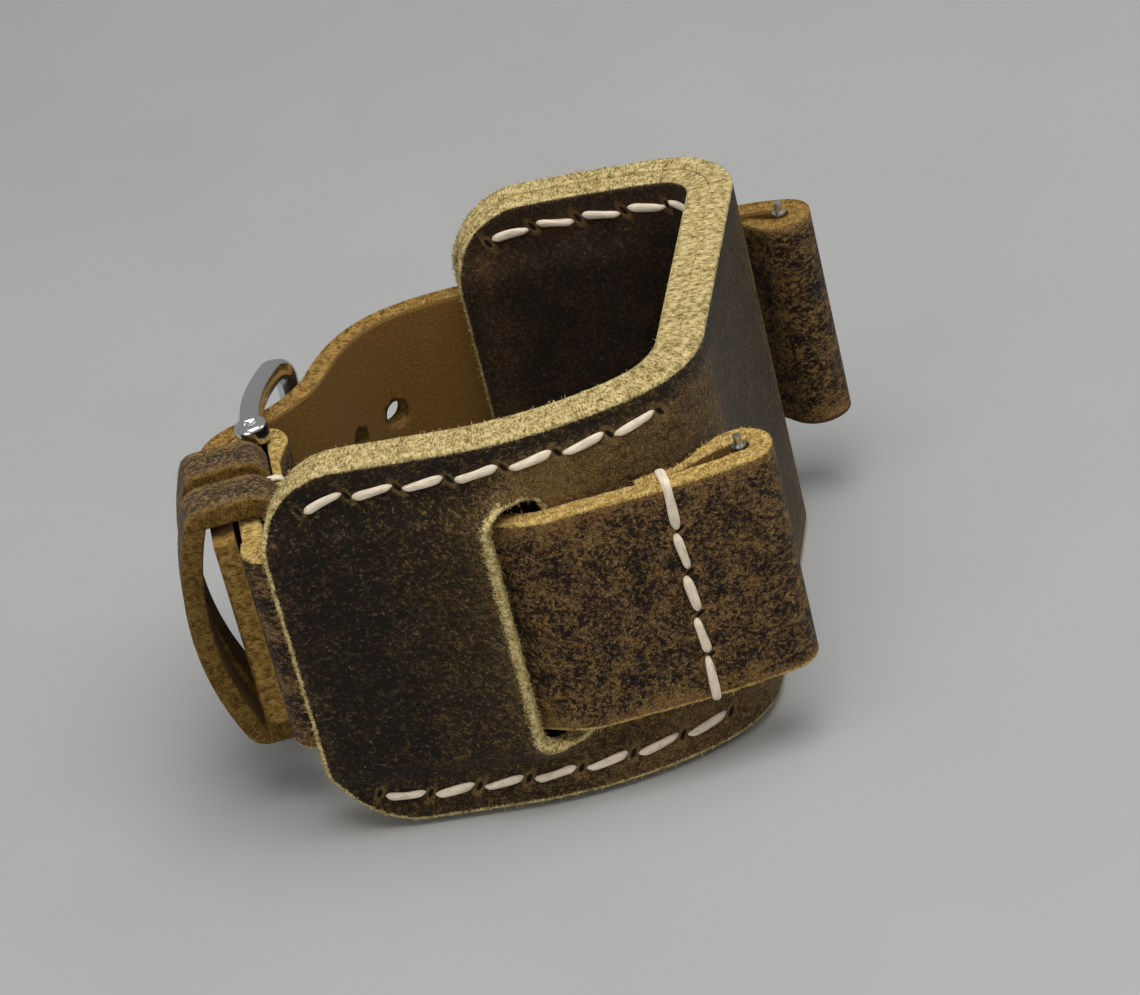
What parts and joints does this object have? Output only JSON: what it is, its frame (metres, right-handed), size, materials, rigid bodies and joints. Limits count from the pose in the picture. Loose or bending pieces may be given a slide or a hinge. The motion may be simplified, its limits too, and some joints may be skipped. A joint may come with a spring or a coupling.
{
  "type": "pass-through watch strap",
  "caption": "Leather watch strap in two pieces that pass through slots in a wide two-layer pad and close with a pin buckle.",
  "frame": {"origin": "middle of the seat, the flat part of the pad's outer face", "axes": "+X out of the seat, +Z along the wrist, the near wing toward -Y"},
  "size_m": [0.0628, 0.061, 0.0404],
  "materials": {
    "grain_leather": "waxed pull-up grain leather, dark brown",
    "lining_leather": "smooth dark brown grain leather",
    "strap_leather": "mottled golden-brown pull-up leather with a suede back",
    "keeper_leather": "pull-up leather with a raw suede edge",
    "waxed_thread": "cream waxed thread",
    "buckle_steel": "polished stainless steel",
    "bar_steel": "turned stainless steel",
    "spring_wire": "drawn spring wire"
  },
  "bodies": {
    "root": {"pad_outer": "grain_leather", "pad_lining": "lining_leather", "near_upper_stitches": "waxed_thread", "near_lower_stitches": "waxed_thread", "far_upper_stitches": "waxed_thread", "far_lower_stitches": "waxed_thread", "short_strap": "strap_leather", "long_strap": "strap_leather", "short_lug_stitches": "waxed_thread", "long_lug_stitches": "waxed_thread", "buckle_fold_stitches": "waxed_thread", "fixed_keeper": "grain_leather"},
    "free_keeper": {"free_keeper": "keeper_leather"},
    "buckle_frame": {"buckle_frame": "buckle_steel"},
    "buckle_tongue": {"buckle_tongue": "buckle_steel"},
    "near_bar": {"near_bar_tube": "bar_steel", "near_bar_spring": "spring_wire"},
    "near_bar_upper_tip": {"near_bar_upper_tip": "bar_steel"},
    "near_bar_lower_tip": {"near_bar_lower_tip": "bar_steel"},
    "far_bar": {"far_bar_tube": "bar_steel", "far_bar_spring": "spring_wire"},
    "far_bar_upper_tip": {"far_bar_upper_tip": "bar_steel"},
    "far_bar_lower_tip": {"far_bar_lower_tip": "bar_steel"},
    "buckle_bar": {"buckle_bar_tube": "bar_steel", "buckle_bar_spring": "spring_wire"},
    "buckle_bar_upper_tip": {"buckle_bar_upper_tip": "bar_steel"},
    "buckle_bar_lower_tip": {"buckle_bar_lower_tip": "bar_steel"}
  },
  "joints": [
    {"name": "keeper_slide", "type": "slide", "parent": "root", "child": "free_keeper", "axis": [-0.284, 0.9588, 0], "range_m": [-0.0008, 0.001]},
    {"name": "frame_hinge", "type": "hinge", "parent": "root", "child": "buckle_frame", "pos_m": [-0.0479, -0.0096, 0], "axis": [0, 0, 1], "range_deg": [0, 8]},
    {"name": "tongue_hinge", "type": "hinge", "parent": "buckle_frame", "child": "buckle_tongue", "pos_m": [-0.0479, -0.0096, 0], "axis": [0, 0, 1], "range_deg": [0, 8]},
    {"name": "near_bar_spin", "type": "hinge", "parent": "root", "child": "near_bar", "pos_m": [0.0025, -0.0231, 0], "axis": [0, 0, 1], "continuous": true},
    {"name": "near_bar_upper_push", "type": "slide", "parent": "near_bar", "child": "near_bar_upper_tip", "axis": [0, 0, -1], "range_m": [0, 0.0012], "stiffness_N_per_m": 500, "springref_m": -0.001, "deforming": ["near_bar_spring"]},
    {"name": "near_bar_lower_push", "type": "slide", "parent": "near_bar", "child": "near_bar_lower_tip", "axis": [0, 0, 1], "range_m": [0, 0.0012], "stiffness_N_per_m": 500, "springref_m": -0.001, "deforming": ["near_bar_spring"]},
    {"name": "far_bar_spin", "type": "hinge", "parent": "root", "child": "far_bar", "pos_m": [0.0025, 0.0231, 0], "axis": [0, 0, 1], "continuous": true},
    {"name": "far_bar_upper_push", "type": "slide", "parent": "far_bar", "child": "far_bar_upper_tip", "axis": [0, 0, -1], "range_m": [0, 0.0012], "stiffness_N_per_m": 500, "springref_m": -0.001, "deforming": ["far_bar_spring"]},
    {"name": "far_bar_lower_push", "type": "slide", "parent": "far_bar", "child": "far_bar_lower_tip", "axis": [0, 0, 1], "range_m": [0, 0.0012], "stiffness_N_per_m": 500, "springref_m": -0.001, "deforming": ["far_bar_spring"]},
    {"name": "buckle_bar_spin", "type": "hinge", "parent": "root", "child": "buckle_bar", "pos_m": [-0.0479, -0.0096, 0], "axis": [0, 0, 1], "continuous": true},
    {"name": "buckle_bar_upper_push", "type": "slide", "parent": "buckle_bar", "child": "buckle_bar_upper_tip", "axis": [0, 0, -1], "range_m": [0, 0.0012], "stiffness_N_per_m": 500, "springref_m": -0.001, "deforming": ["buckle_bar_spring"]},
    {"name": "buckle_bar_lower_push", "type": "slide", "parent": "buckle_bar", "child": "buckle_bar_lower_tip", "axis": [0, 0, 1], "range_m": [0, 0.0012], "stiffness_N_per_m": 500, "springref_m": -0.001, "deforming": ["buckle_bar_spring"]}
  ]
}
